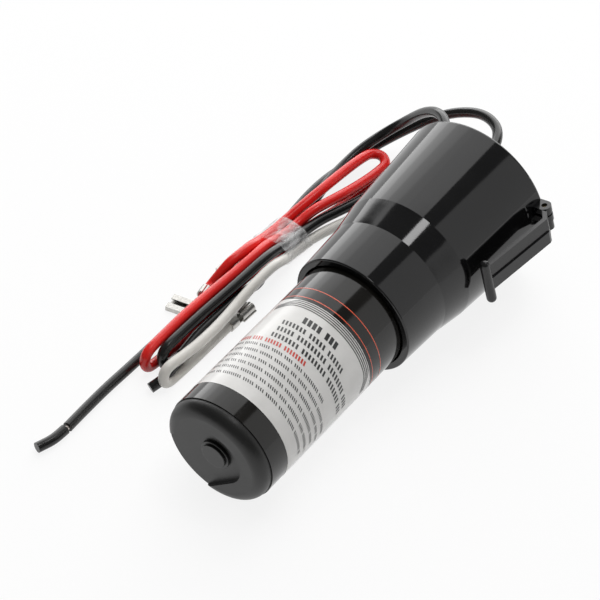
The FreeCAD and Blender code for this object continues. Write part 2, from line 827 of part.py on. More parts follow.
def place_terminal(route, side):
    """Seats a flag terminal on a lead's last point; its receptacle points to +y or -y by side."""
    terminal, grip_x = flag_terminal()
    end = route[-1]
    back = route[-2] - end
    heading = math.degrees(math.atan2(back.y, back.x))
    terminal.translate(V(-grip_x, 0, 0))
    if side < 0:
        terminal.rotate(ORIGIN, AXIS_X, 180)
        terminal = terminal.mirror(ORIGIN, AXIS_Z)
    terminal.rotate(ORIGIN, AXIS_Z, heading)
    lift = lead_radius + barrel_gap + sheet
    terminal.translate(V(end.x, end.y, lift))
    return terminal


def tape_tie(x, tubes):
    """Clear tape wound once round the whole hank, loose by its own thickness."""
    low = V(x - tie_length / 2, 0, 0)
    side = 4 * rim_x
    slab = Part.makeBox(tie_length, side, side, low - V(0, side / 2, side / 2))
    box = FreeCAD.BoundBox()
    for cord in tubes:
        box.add(cord.common(slab).BoundBox)
    half_y = box.YLength / 2 + tie_wall
    half_z = box.ZLength / 2 + tie_wall
    corner = min(half_y, half_z) * tie_corner_share
    centre = V(low.x, box.Center.y, box.Center.z)
    inner = rounded_tube(centre, half_y, half_z, corner)
    outer = rounded_tube(centre, half_y + tie_wall, half_z + tie_wall, corner + tie_wall)
    return outer.cut(inner)


def rounded_tube(centre, half_y, half_z, corner):
    """A solid bar along x with a rounded rectangular section."""
    points = [
        centre + V(0, -half_y, -half_z),
        centre + V(0, half_y, -half_z),
        centre + V(0, half_y, half_z),
        centre + V(0, -half_y, half_z),
    ]
    wire = Part.Wire(tangent_path(points, [corner] * 4, closed=True))
    return Part.Face(wire).extrude(V(tie_length, 0, 0))


def rigid_pieces():
    """Every piece drawn on the relay's own axis, by node name."""
    pieces = {
        "capacitor_can": capacitor_can(),
        "vent_plug": vent_plug(),
        "label_sleeve": label_sleeve(),
        "capacitor_winding": capacitor_winding(),
        "capacitor_header": capacitor_header(),
        "capacitor_tab_start": capacitor_tab(-1),
        "capacitor_tab_run": capacitor_tab(1),
        "relay_housing": relay_housing(),
        "mounting_clip": mounting_clip(),
        "clip_pin": clip_pin(),
        "end_cover": end_cover(),
        "wire_board": wire_board(),
        "ptc_case": ptc_case(),
        "ptc_lid": ptc_lid(),
        "ptc_pill": ptc_pill(),
        "ptc_spring_start": ptc_spring(-1),
        "ptc_spring_run": ptc_spring(1),
        "overload_case": overload_case(),
        "overload_stud_line": overload_stud(-1),
        "overload_stud_common": overload_stud(1),
        "bimetal_disc": bimetal_disc(),
        "overload_cover": overload_cover(),
        "overload_screw": overload_screw(),
    }
    eyelets = [wire_eyelet(y, z) for y, z in hole_places().values()]
    pieces["wire_eyelets"] = Part.makeCompound(eyelets)
    return pieces


def lead_points(name, place):
    """A lead's points: its eyelet, the mouth of its hole, and the chosen route."""
    y, z = hole_places()[name]
    start = place.multVec(V(eyelet_top_x, y, z))
    outside = place.multVec(V(rim_x + 2 * lead_radius, y, z))
    return [start, outside] + [V(*p) for p in lead_routes[name]]


def build():
    """Makes every node and returns them by name."""
    rigid = rigid_pieces()
    place = bench_place(rigid.values())
    nodes = {name: laid(shape, place) for name, shape in rigid.items()}
    routes = {name: lead_points(name, place) for name in lead_routes}
    for name, points in routes.items():
        cord, length, tightest = tube(points, lead_radius)
        nodes[name] = cord
        ideal = math.pi * lead_radius ** 2 * length
        print(name, "length %.1f" % length, "tightest arc %.2f" % tightest, "volume ratio %.4f" % (cord.Volume / ideal))
        radii = route_radii(points)
        print("   radii", " ".join("%.1f" % r for r in radii[1:-1]))
    for end, points in slug_routes.items():
        path = [V(*p) for p in points]
        start = V(*lead_routes["line_lead_" + end][-1])
        ahead = path[1] - start
        bore = Part.makeCylinder(core_radius + core_bore_gap, core_length + core_bore_gap, start, ahead)
        nodes["line_slug_" + end] = tube(path, lead_radius)[0].cut(bore)
        core = Part.makeCylinder(core_radius, core_length, start, ahead)
        nodes["line_core_" + end] = core.cut(nodes["line_lead_" + end])
    nodes["red_flag_terminal"] = place_terminal(routes["red_lead"], 1)
    nodes["white_flag_terminal"] = place_terminal(routes["white_lead"], -1)
    nodes["black_flag_terminal"] = place_terminal(routes["black_lead"], -1)
    nodes["hank_tape"] = tape_tie(tie_x, [nodes[name] for name in lead_routes])
    print("origin shift", place.Base, "tilt %.3f" % math.degrees(lay_down_angle()))
    return nodes


def main():
    os.makedirs("parts", exist_ok=True)
    for name, shape in build().items():
        shape.exportStep("parts/%s.step" % name)


main()
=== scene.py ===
import math
import random

import bmesh
import bpy
from mathutils import Matrix, Vector

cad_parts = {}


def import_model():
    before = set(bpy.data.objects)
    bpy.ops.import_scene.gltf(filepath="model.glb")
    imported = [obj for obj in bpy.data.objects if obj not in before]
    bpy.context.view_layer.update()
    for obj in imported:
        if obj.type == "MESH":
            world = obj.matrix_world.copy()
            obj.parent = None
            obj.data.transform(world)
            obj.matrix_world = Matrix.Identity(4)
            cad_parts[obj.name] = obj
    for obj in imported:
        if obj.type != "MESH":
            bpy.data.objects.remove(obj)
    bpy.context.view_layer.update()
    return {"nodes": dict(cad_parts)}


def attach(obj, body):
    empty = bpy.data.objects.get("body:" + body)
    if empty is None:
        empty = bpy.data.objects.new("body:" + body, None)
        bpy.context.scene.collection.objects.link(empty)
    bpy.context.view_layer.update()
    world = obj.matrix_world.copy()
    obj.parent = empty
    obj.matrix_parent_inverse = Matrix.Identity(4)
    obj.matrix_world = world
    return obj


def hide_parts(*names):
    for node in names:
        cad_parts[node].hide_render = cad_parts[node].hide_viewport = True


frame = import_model()
nodes = frame["nodes"]

# Metres throughout, in the row frame. MM turns the millimetre sizes of the part into metres.
MM = 0.001

# The relay's own axis on the bench: its slope, and where the foot's centre lies
TILT = math.radians(3.290)
FOOT = Vector((-68.189, 3.851, 18.305)) * MM

SLEEVE_RADIUS = 18.6 * MM
LEAD_RADIUS = 1.7 * MM
EYELET_X = 124.5 * MM
RIM_X = 136.0 * MM

# Camera: where its axis crosses the distance, its heading from +X, and its height above the horizon
CAMERA_TARGET = Vector((-0.0602, -0.0222, 0.0923))
CAMERA_DISTANCE = 0.850
CAMERA_HEADING = math.radians(37.08)
CAMERA_ELEVATION = math.radians(44.6)
CAMERA_LENS = 185.5


def on_axis(x, y=0.0, z=0.0):
    """A point of the relay's own frame, in the row frame."""
    turned = Matrix.Rotation(-TILT, 3, "Y") @ Vector((x, y, z))
    return FOOT + turned


def on_round(x, angle, radius):
    """A point at a radius and an angle round the relay: 0 is +Y and 90 is the top."""
    a = math.radians(angle)
    return on_axis(x, radius * math.cos(a), radius * math.sin(a))


# Materials

def material(name):
    """An empty node material with its Principled shader."""
    mat = bpy.data.materials.new(name)
    mat.use_nodes = True
    return mat, mat.node_tree, mat.node_tree.nodes["Principled BSDF"]


def noise(tree, scale, detail=3.0, stretch=(1, 1, 1)):
    """A noise texture in object space, in cells per metre along each axis."""
    coords = tree.nodes.new("ShaderNodeTexCoord")
    mapping = tree.nodes.new("ShaderNodeMapping")
    mapping.inputs["Scale"].default_value = stretch
    texture = tree.nodes.new("ShaderNodeTexNoise")
    texture.inputs["Scale"].default_value = scale
    texture.inputs["Detail"].default_value = detail
    tree.links.new(coords.outputs["Object"], mapping.inputs["Vector"])
    tree.links.new(mapping.outputs["Vector"], texture.inputs["Vector"])
    return texture.outputs["Fac"]


def ramp(tree, factor, low, high, start=0.35, end=0.65):
    """Runs from the colour low to the colour high as factor goes from start to end."""
    node = tree.nodes.new("ShaderNodeValToRGB")
    node.color_ramp.elements[0].position = start
    node.color_ramp.elements[0].color = (*low, 1)
    node.color_ramp.elements[1].position = end
    node.color_ramp.elements[1].color = (*high, 1)
    tree.links.new(factor, node.inputs["Fac"])
    return node.outputs["Color"]


def bump(tree, shader, height, strength, distance):
    """Adds a bump from a height to a shader."""
    node = tree.nodes.new("ShaderNodeBump")
    node.inputs["Strength"].default_value = strength
    node.inputs["Distance"].default_value = distance
    tree.links.new(height, node.inputs["Height"])
    tree.links.new(node.outputs["Normal"], shader.inputs["Normal"])


def spread(tree, factor, low, high, start=0.0, end=1.0):
    """Maps a factor from start to end to the range low to high."""
    node = tree.nodes.new("ShaderNodeMapRange")
    node.inputs["From Min"].default_value = start
    node.inputs["From Max"].default_value = end
    node.inputs["To Min"].default_value = low
    node.inputs["To Max"].default_value = high
    tree.links.new(factor, node.inputs["Value"])
    return node.outputs["Result"]


# Textures in cells per metre, depths in metres
PLASTIC_MOTTLE = 60
GLOSS_MOTTLE = 150
GRAIN_STRENGTH = 0.25
METAL_GRAIN = 1500
METAL_DEPTH = 0.00002
MARK_STRENGTH = 0.3
INK_MOTTLE = 180
INK_SHADE = 0.94
INK_ROUGHNESS = 0.35
INK_COAT = 0.5
INK_COAT_ROUGHNESS = 0.12


def plastic(name, dark, light, rough, grain=900, grain_depth=0.00002):
    """Moulded plastic: a slow drift of colour and gloss under a fine grain."""
    mat, tree, shader = material(name)
    tree.links.new(ramp(tree, noise(tree, PLASTIC_MOTTLE), dark, light), shader.inputs["Base Color"])
    gloss = spread(tree, noise(tree, GLOSS_MOTTLE, 5.0), rough[0], rough[1])
    tree.links.new(gloss, shader.inputs["Roughness"])
    bump(tree, shader, noise(tree, grain, 2.0), GRAIN_STRENGTH, grain_depth)
    return mat


def metal(name, dark, light, rough, stretch=(1, 1, 1)):
    """Bare or plated metal with faint draw marks."""
    mat, tree, shader = material(name)
    marks = noise(tree, METAL_GRAIN, 4.0, stretch)
    tree.links.new(ramp(tree, marks, dark, light), shader.inputs["Base Color"])
    tree.links.new(spread(tree, marks, rough[0], rough[1]), shader.inputs["Roughness"])
    shader.inputs["Metallic"].default_value = 1.0
    bump(tree, shader, marks, MARK_STRENGTH, METAL_DEPTH)
    return mat


def print_ink(name, colour):
    """Ink or paper under the clear film, with the film's slight mottle."""
    mat, tree, shader = material(name)
    low = tuple(c * INK_SHADE for c in colour)
    tree.links.new(ramp(tree, noise(tree, INK_MOTTLE, 4.0), low, colour), shader.inputs["Base Color"])
    shader.inputs["Roughness"].default_value = INK_ROUGHNESS
    shader.inputs["Coat Weight"].default_value = INK_COAT
    shader.inputs["Coat Roughness"].default_value = INK_COAT_ROUGHNESS
    return mat


# Each plastic's dark and light colour, roughness range, grain and grain depth
HOUSING = plastic("housing", (0.0045, 0.0045, 0.0048), (0.0065, 0.0065, 0.0068), (0.06, 0.1), 900, 0.000004)
SLEEVE = plastic("sleeve", (0.0055, 0.005, 0.0042), (0.0085, 0.0078, 0.0065), (0.08, 0.13), 500, 0.000008)
CAN = plastic("can", (0.011, 0.011, 0.0105), (0.016, 0.016, 0.0155), (0.34, 0.44), 2200, 0.00002)
PLUG = plastic("plug", (0.009, 0.009, 0.0085), (0.014, 0.014, 0.0135), (0.3, 0.42), 2200, 0.00002)
CLIP = plastic("clip", (0.008, 0.008, 0.0085), (0.013, 0.013, 0.0135), (0.18, 0.28), 1200, 0.00001)
COVER = plastic("cover", (0.014, 0.014, 0.015), (0.022, 0.022, 0.023), (0.35, 0.5), 1500, 0.00003)
BLACK_WIRE = plastic("black_wire", (0.007, 0.007, 0.007), (0.012, 0.012, 0.0115), (0.2, 0.3), 500, 0.000008)
RED_WIRE = plastic("red_wire", (0.68, 0.014, 0.012), (0.8, 0.022, 0.018), (0.2, 0.3), 500, 0.000008)
WHITE_WIRE = plastic("white_wire", (0.62, 0.6, 0.56), (0.72, 0.7, 0.66), (0.26, 0.38), 500, 0.000008)

# Each metal's dark and light colour, roughness range and stretch of its marks
TIN = metal("tin", (0.44, 0.43, 0.41), (0.6, 0.59, 0.56), (0.3, 0.45))
BRASS = metal("brass", (0.5, 0.4, 0.2), (0.66, 0.54, 0.3), (0.25, 0.4))
COPPER = metal("copper", (0.7, 0.62, 0.56), (0.86, 0.8, 0.76), (0.25, 0.4), (0.1, 1, 1))
STEEL = metal("spring_steel", (0.5, 0.5, 0.5), (0.65, 0.65, 0.66), (0.25, 0.4))
FOIL = metal("foil", (0.66, 0.66, 0.67), (0.78, 0.78, 0.79), (0.3, 0.45))

# Inner plastics, and the print
BOARD = plastic("board", (0.2, 0.12, 0.05), (0.3, 0.19, 0.09), (0.5, 0.65))
PHENOLIC = plastic("phenolic", (0.05, 0.025, 0.015), (0.08, 0.04, 0.022), (0.4, 0.55))
PILL = plastic("pill", (0.2, 0.19, 0.18), (0.27, 0.26, 0.25), (0.6, 0.75))
DEVICE = plastic("device_case", (0.03, 0.03, 0.032), (0.045, 0.045, 0.048), (0.4, 0.55))
PAPER = print_ink("label_white", (0.72, 0.71, 0.69))
INK = print_ink("label_black", (0.02, 0.02, 0.02))
RED_INK = print_ink("label_red", (0.55, 0.04, 0.025))
ORANGE_INK = print_ink("label_orange", (0.68, 0.09, 0.035))

NODE_MATERIALS = {
    "capacitor_can": CAN,
    "vent_plug": PLUG,
    "label_sleeve": SLEEVE,
    "capacitor_winding": FOIL,
    "capacitor_header": PHENOLIC,
    "capacitor_tab_start": TIN,
    "capacitor_tab_run": TIN,
    "relay_housing": HOUSING,
    "mounting_clip": CLIP,
    "clip_pin": BRASS,
    "end_cover": COVER,
    "wire_board": BOARD,
    "wire_eyelets": TIN,
    "ptc_case": DEVICE,
    "ptc_lid": DEVICE,
    "ptc_pill": PILL,
    "ptc_spring_start": STEEL,
    "ptc_spring_run": STEEL,
    "overload_case": PHENOLIC,
    "overload_stud_line": TIN,
    "overload_stud_common": TIN,
    "bimetal_disc": STEEL,
    "overload_cover": PHENOLIC,
    "overload_screw": TIN,
    "line_slug_a": BLACK_WIRE,
    "line_slug_b": BLACK_WIRE,
    "line_core_a": COPPER,
    "line_core_b": COPPER,
    "red_flag_terminal": TIN,
    "white_flag_terminal": TIN,
    "black_flag_terminal": TIN,
}


def dress_nodes():
    """Gives every CAD node that stays its material."""
    for name, mat in NODE_MATERIALS.items():
        node = nodes[name]
        node.data.materials.clear()
        node.data.materials.append(mat)


def add_mesh(name, build, mat):
    """Makes a smooth object of the relay's body from a function that fills a bmesh."""
    mesh = bpy.data.meshes.new(name)
    bm = bmesh.new()
    build(bm)
    bmesh.ops.recalc_face_normals(bm, faces=bm.faces)
    bm.to_mesh(mesh)
    bm.free()
    for face in mesh.polygons:
        face.use_smooth = True
    piece = bpy.data.objects.new(name, mesh)
    bpy.context.scene.collection.objects.link(piece)
    mesh.materials.append(mat)
    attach(piece, "root")
    return piece


# The print on the sleeve: plain fields, lines and bars in the place of words

FILM = 0.04 * MM
FIELD_LOW = 11.9 * MM
FIELD_HIGH = 52.6 * MM
STEP_ANGLE = 3.0
WELD = 1e-7


def wrap_patch(bm, low, high, start, end, radius, lean=0.0):
    """A patch on the round sleeve between two x and two angles; lean slants its ends, in degrees."""
    count = max(1, math.ceil(abs(end - start) / STEP_ANGLE))
    rows = []
    for i in range(count + 1):
        angle = start + (end - start) * i / count
        rows.append((
            bm.verts.new(on_round(low, angle, radius)),
            bm.verts.new(on_round(high, angle - lean, radius)),
        ))
    for (a, b), (c, d) in zip(rows, rows[1:]):
        bm.faces.new((a, c, d, b))


def label_field(bm):
    """The white field, a closed band round the sleeve."""
    wrap_patch(bm, FIELD_LOW, FIELD_HIGH, 0, 360, SLEEVE_RADIUS + FILM)
    bmesh.ops.remove_doubles(bm, verts=bm.verts, dist=WELD)


# Border lines: x and width in mm, angles in degrees, steps along a line and along each curl past
# its ends, and how far the lines sink there
BORDER_LINES = [49.7, 50.45, 51.2, 51.95]
BORDER_WIDTH = 0.36
BORDER_START = 70
BORDER_END = 170
BORDER_STEPS = 32
CURL_STEPS = 8
CURL_DROP = 2.6
CURL_SHARE = 0.7
CURL_SHARE_STEP = 0.08


def border_lines(bm):
    """Four fine lines above the words that sink together in a curl at both ends."""
    radius = SLEEVE_RADIUS + 2 * FILM
    for i, x in enumerate(BORDER_LINES):
        points = []
        for step in range(-CURL_STEPS, BORDER_STEPS + CURL_STEPS + 1):
            share = step / BORDER_STEPS
            angle = BORDER_START + (BORDER_END - BORDER_START) * share
            past = max(-share, share - 1, 0) * BORDER_STEPS / CURL_STEPS
            sunk = (1 - math.cos(math.pi * min(past, 1))) / 2
            drop = CURL_DROP * sunk * (CURL_SHARE + CURL_SHARE_STEP * i)
            points.append((x - drop, angle))
        for (x0, a0), (x1, a1) in zip(points, points[1:]):
            bm.faces.new((
                bm.verts.new(on_round(x0 * MM, a0, radius)),
                bm.verts.new(on_round(x1 * MM, a1, radius)),
                bm.verts.new(on_round((x1 + BORDER_WIDTH) * MM, a1, radius)),
                bm.verts.new(on_round((x0 + BORDER_WIDTH) * MM, a0, radius)),
            ))
    bmesh.ops.remove_doubles(bm, verts=bm.verts, dist=WELD)


# Rings above the field, in mm
ORANGE_LINES = (53.9, 57.9)
ORANGE_WIDTH = 0.34


def orange_lines(bm):
    """Two thin rings above the field."""
    for x in ORANGE_LINES:
        wrap_patch(bm, x * MM, (x + ORANGE_WIDTH) * MM, 0, 360, SLEEVE_RADIUS + FILM)


# Rows of bars in the place of words: x of the row's foot, height, start and end angle, and one
# block's pitch, in mm and degrees
HEADING_ROW = [(44.5, 2.4, 90, 128, 1.75)]
UPPER_ROWS = [(41.3, 1.75, 74, 150, 1.3), (38.4, 1.75, 75, 187, 1.3), (35.5, 1.75, 75, 189, 1.3)]
RED_ROW = [(32.8, 1.6, 40, 121, 1.05)]
LOWER_ROWS = [
    (30.5, 1.1, 38, 158, 0.8),
    (27.8, 1.1, 38, 192, 0.8),
    (25.0, 1.1, 38, 194, 0.8),
    (22.2, 1.1, 38, 190, 0.8),
    (19.4, 1.1, 38, 192, 0.8),
    (16.6, 1.1, 38, 188, 0.8),
]

# Fewest and most blocks of a group, the gap between groups in pitches, and a block's lean in degrees
WORD_BLOCKS = (3, 9)
WORD_GAP = 0.8
LEAN = 1.6

# Each piece's rows, seed, share of the pitch that a block fills, and ink
WORD_PIECES = [
    ("label_heading", HEADING_ROW, 3, 0.7, INK),
    ("label_upper_rows", UPPER_ROWS, 5, 0.55, INK),
    ("label_red_row", RED_ROW, 7, 0.6, RED_INK),
    ("label_lower_rows", LOWER_ROWS, 9, 0.5, INK),
]


def word_bars(rows, seed, block_share):
    """Rows of small slanted blocks in groups as long as words."""
    picks = random.Random(seed)

    def fill(bm):
        per_mm = math.degrees(MM / SLEEVE_RADIUS)
        for x, height, start, end, pitch in rows:
            angle = start
            while angle < end:
                for _ in range(picks.randint(*WORD_BLOCKS)):
                    if angle >= end:
                        break
                    wrap_patch(
                        bm, x * MM, (x + height) * MM, angle, angle + pitch * block_share * per_mm,
                        SLEEVE_RADIUS + 2 * FILM, LEAN,
                    )
                    angle += pitch * per_mm
                angle += pitch * per_mm * WORD_GAP
    return fill


def label_print():
    """Puts the whole print on the sleeve."""
    add_mesh("label_field", label_field, PAPER)
    add_mesh("label_border_lines", border_lines, INK)
    add_mesh("label_orange_lines", orange_lines, ORANGE_INK)
    for name, rows, seed, block_share, ink in WORD_PIECES:
        add_mesh(name, word_bars(rows, seed, block_share), ink)


# Leads: where each leaves the cover, in the relay's frame as shares of the chamber's bore,
# and its route on the bench, in millimetres
CHAMBER_BORE = 20.0308 * MM
LEAD_HOLES = {
    "line_lead_a": (0.10, 0.075),
    "line_lead_b": (0.75, 0.43),
    "red_lead": (0.55, -0.10),
    "black_lead": (-0.15, -0.48),
    "white_lead": (0.38, -0.55),
}

LEAD_ROUTES = {
    "line_lead_a": [
        (91.0, 10.5, 28.5), (97.5, 21.0, 27.5), (98.0, 33.5, 21.5), (95.5, 44.5, 13.0), (88.0, 53.0, 6.4),
        (78.5, 57.4, 3.6), (70.0, 58.9, 2.6), (61.0, 59.8, 3.0), (52.0, 59.6, 2.9), (44.0, 59.0, 2.2),
        (37.0, 58.6, 1.8), (29.0, 58.7, 1.8), (22.5, 58.5, 1.8), (17.5, 56.5, 3.0), (13.0, 54.6, 5.6),
        (4.0, 54.3, 6.1), (-6.0, 54.3, 6.0), (-11.0, 54.6, 6.0), (-16.5, 55.6, 5.0), (-22.5, 57.0, 3.0),
        (-29.0, 57.5, 1.8), (-43.0, 57.3, 1.8), (-57.0, 57.4, 1.8), (-73.4, 56.3, 1.8),
    ],
    "line_lead_b": [
        (79.0, 24.5, 35.6), (83.5, 31.0, 33.0), (86.8, 38.5, 26.5), (89.3, 46.0, 17.5), (86.0, 52.6, 10.8),
        (77.0, 56.2, 8.0), (68.0, 57.2, 6.0), (60.5, 57.0, 5.6), (54.0, 56.2, 4.8), (49.0, 55.7, 3.4),
        (43.5, 55.4, 2.2), (37.0, 54.9, 1.8), (29.0, 54.9, 1.8), (22.0, 54.5, 1.8), (18.0, 52.0, 1.8),
        (14.0, 49.2, 1.9), (10.0, 47.6, 2.8), (5.0, 47.1, 4.8), (0.0, 47.1, 5.7), (-8.0, 47.0, 5.9),
        (-15.0, 46.9, 6.0), (-21.0, 46.8, 6.0), (-26.0, 46.3, 5.7), (-31.0, 45.8, 5.4),
    ],
    "red_lead": [
        (83.0, 17.5, 21.5), (90.5, 26.0, 14.5), (90.0, 36.0, 7.0), (83.0, 43.2, 2.4), (73.0, 46.4, 1.8),
        (62.5, 47.4, 1.8), (53.0, 48.9, 1.8), (44.0, 51.0, 1.8), (36.0, 51.4, 1.8), (29.0, 51.4, 1.8),
        (25.0, 51.3, 2.8), (22.0, 51.2, 4.2), (18.0, 51.0, 5.2), (15.0, 50.7, 5.5), (4.0, 50.7, 5.6),
        (-5.0, 50.5, 5.6), (-12.6, 50.3, 5.5), (-19.4, 50.7, 2.8), (-26.0, 51.8, 1.8), (-37.5, 52.2, 1.8),
        (-40.2, 52.3, 2.9), (-41.1, 52.4, 5.6), (-40.2, 52.4, 8.4), (-37.5, 52.5, 9.4), (-31.0, 52.6, 9.6),
        (-20.0, 52.9, 9.8), (-8.0, 52.8, 9.4), (4.0, 52.5, 9.1), (15.0, 52.5, 8.9), (22.0, 53.2, 7.7),
        (29.0, 53.3, 5.4), (37.0, 52.7, 5.4), (43.5, 51.2, 7.6), (49.5, 49.4, 7.9), (57.0, 47.8, 7.4),
        (66.0, 46.6, 6.6), (73.1, 46.1, 6.2), (77.5, 46.2, 6.2), (79.7, 49.4, 6.8), (77.5, 52.6, 7.5),
        (73.1, 52.9, 8.4), (68.0, 53.2, 8.8), (60.0, 53.6, 9.0), (52.0, 54.2, 8.6), (43.5, 55.6, 7.1),
        (36.0, 56.9, 5.3), (29.0, 57.0, 5.3), (22.0, 57.0, 6.6), (18.0, 56.4, 8.6), (12.5, 56.3, 9.2),
        (7.5, 57.1, 8.5), (3.2, 58.6, 4.6), (0.8, 59.6, 2.0), (-4.4, 58.6, 2.15),
    ],
    "black_lead": [
        (84.0, 2.8, 15.5), (93.5, 9.5, 10.5), (97.0, 20.5, 5.5), (94.0, 31.5, 2.4), (85.0, 38.2, 1.8),
        (74.0, 41.6, 2.6), (62.0, 43.6, 3.8), (53.0, 45.7, 4.4), (44.0, 48.5, 4.6), (36.0, 49.2, 5.0),
        (29.0, 49.6, 5.2), (22.0, 49.5, 7.5), (15.0, 49.0, 9.1), (4.0, 49.0, 9.1), (-6.0, 49.1, 9.2),
        (-15.0, 49.2, 9.4), (-25.0, 49.1, 9.5), (-33.3, 49.0, 9.4), (-36.0, 49.0, 8.3), (-36.9, 48.9, 5.6),
        (-36.0, 48.7, 2.9), (-33.3, 48.4, 1.8), (-28.0, 47.9, 1.8), (-20.0, 47.2, 1.8), (-15.5, 47.2, 1.8),
        (-12.0, 48.9, 1.8), (-8.0, 53.1, 1.8), (-4.0, 54.8, 1.9), (1.0, 54.8, 2.15), (5.75, 54.8, 2.15),
    ],
    "white_lead": [
        (82.0, 13.4, 13.0), (88.0, 20.5, 7.5), (87.0, 29.0, 2.8), (78.5, 34.4, 1.8), (66.0, 38.2, 1.8),
        (54.0, 41.9, 1.8), (44.0, 45.6, 1.8), (36.0, 47.4, 1.8), (29.0, 47.8, 1.9), (22.0, 46.2, 5.0),
        (15.0, 45.3, 8.4), (4.0, 44.6, 8.8), (-6.0, 43.6, 8.6), (-15.0, 42.7, 8.4), (-25.0, 42.4, 8.4),
        (-33.0, 42.8, 8.6), (-39.4, 43.5, 8.8), (-42.0, 43.6, 7.8), (-42.9, 43.6, 5.3), (-42.0, 43.5, 2.8),
        (-39.4, 43.5, 1.8), (-28.0, 43.5, 1.8), (-18.0, 43.7, 1.9), (-11.6, 43.8, 2.15), (-6.8, 43.8, 2.15),
    ],
}

# Each lead's real length, material, record slot, far end and the pieces on it
LEAD_FACTS = {
    "line_lead_a": (0.2518, BLACK_WIRE, "black_wire", "bare", ["line_slug_a", "line_core_a"]),
    "line_lead_b": (0.1857, BLACK_WIRE, "black_wire", "bare", ["line_slug_b", "line_core_b"]),
    "red_lead": (0.4077, RED_WIRE, "red_wire", "connector", ["red_flag_terminal"]),
    "black_lead": (0.2494, BLACK_WIRE, "black_wire", "connector", ["black_flag_terminal"]),
    "white_lead": (0.2129, WHITE_WIRE, "white_wire", "connector", ["white_flag_terminal"]),
}


def hole_place(name):
    """The y and z of a lead's hole from the relay's axis, in metres."""
    y, z = LEAD_HOLES[name]
    return y * CHAMBER_BORE, z * CHAMBER_BORE


def lead_points(name):
    """A lead's points in metres: its eyelet, the mouth of its hole and its route."""
    start = on_axis(EYELET_X, *hole_place(name))
    outside = on_axis(RIM_X + 2 * LEAD_RADIUS, *hole_place(name))
    return [start, outside] + [Vector(p) * MM for p in LEAD_ROUTES[name]]


CORD_ORDER = 3
CORD_STEPS = 12
CORD_ROUNDNESS = 6


def nurbs(name, points, radius):
    """A smooth round cord led by its control points."""
    curve = bpy.data.curves.new(name, "CURVE")
    curve.dimensions = "3D"
    spline = curve.splines.new("NURBS")
    spline.points.add(len(points) - 1)
    for point, place in zip(spline.points, points):
        point.co = (*place, 1.0)
    spline.order_u = CORD_ORDER
    spline.use_endpoint_u = True
    curve.resolution_u = CORD_STEPS
    curve.bevel_depth = radius
    curve.bevel_resolution = CORD_ROUNDNESS
    curve.use_fill_caps = True
    return bpy.data.objects.new(name, curve)


def leads():
    for name, (length, mat, slot, far_end, on_it) in LEAD_FACTS.items():
        cord = nurbs(name + "_wire", lead_points(name), LEAD_RADIUS)
        bpy.context.scene.collection.objects.link(cord)
        cord.data.materials.append(mat)
        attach(cord, "root")
        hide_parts(name)


# Clear tape round the hank: one wrap, drawn through the outline (y, z in mm) of the strands at
# each end
TAPE_LOW = 23.2 * MM
TAPE_HIGH = 35.8 * MM
TAPE_WALL = 0.1 * MM
TAPE_OUTLINE_LOW = [
    (49.5, 0.6), (54.0, 0.15), (58.8, 0.15), (60.3, 1.2), (60.4, 3.2), (59.2, 7.0),
    (56.8, 8.3), (53.2, 9.25), (49.4, 8.85), (46.0, 6.9), (44.5, 4.8), (45.4, 2.6),
]
TAPE_OUTLINE_HIGH = [
    (47.4, 0.15), (53.0, 0.15), (58.8, 0.15), (60.4, 1.2), (60.5, 2.8), (59.0, 6.2),
    (56.9, 7.3), (53.0, 7.4), (49.2, 7.0), (47.0, 5.4), (45.5, 2.8), (45.7, 0.9),
]

TAPE_AROUND = 120
TAPE_ALONG = 30
TAPE_REST = 0.15

# Creases of the film: their count and depth, and the ranges of waves round it, of their phase and of
# their twist along it; then how far its ends waver, and how often
CREASE_COUNT = 7
CREASE_DEPTH = 0.035
CREASE_WAVES = (3, 11)
CREASE_PHASE = (0, 6.28)
CREASE_TWIST = (-9, 9)
END_WAVER = 0.25
END_WAVES = 14


def tape_material():
    """Clear film, bright where it creases."""
    mat, tree, shader = material("clear_tape")
    creases = noise(tree, 330, 5.0, (0.45, 1, 1))
    tree.links.new(spread(tree, creases, 0.06, 0.22), shader.inputs["Roughness"])
    tree.links.new(spread(tree, creases, 0.06, 0.42, 0.45, 0.72), shader.inputs["Alpha"])
    shader.inputs["Base Color"].default_value = (0.82, 0.82, 0.82, 1)
    bump(tree, shader, creases, 0.9, 0.0006)
    return mat


def loop_point(outline, u):
    """A point of the smooth closed curve through an outline's points, u from 0 to 1 round it."""
    count = len(outline)
    place = u * count
    i = int(place)
    t = place - i
    a, b, c, d = (Vector(outline[(i + k) % count]) for k in (-1, 0, 1, 2))
    slope = (c - a) * t
    bend = (2 * a - 5 * b + 4 * c - d) * t ** 2
    twist = (3 * b - 3 * c + d - a) * t ** 3
    return 0.5 * (2 * b + slope + bend + twist)


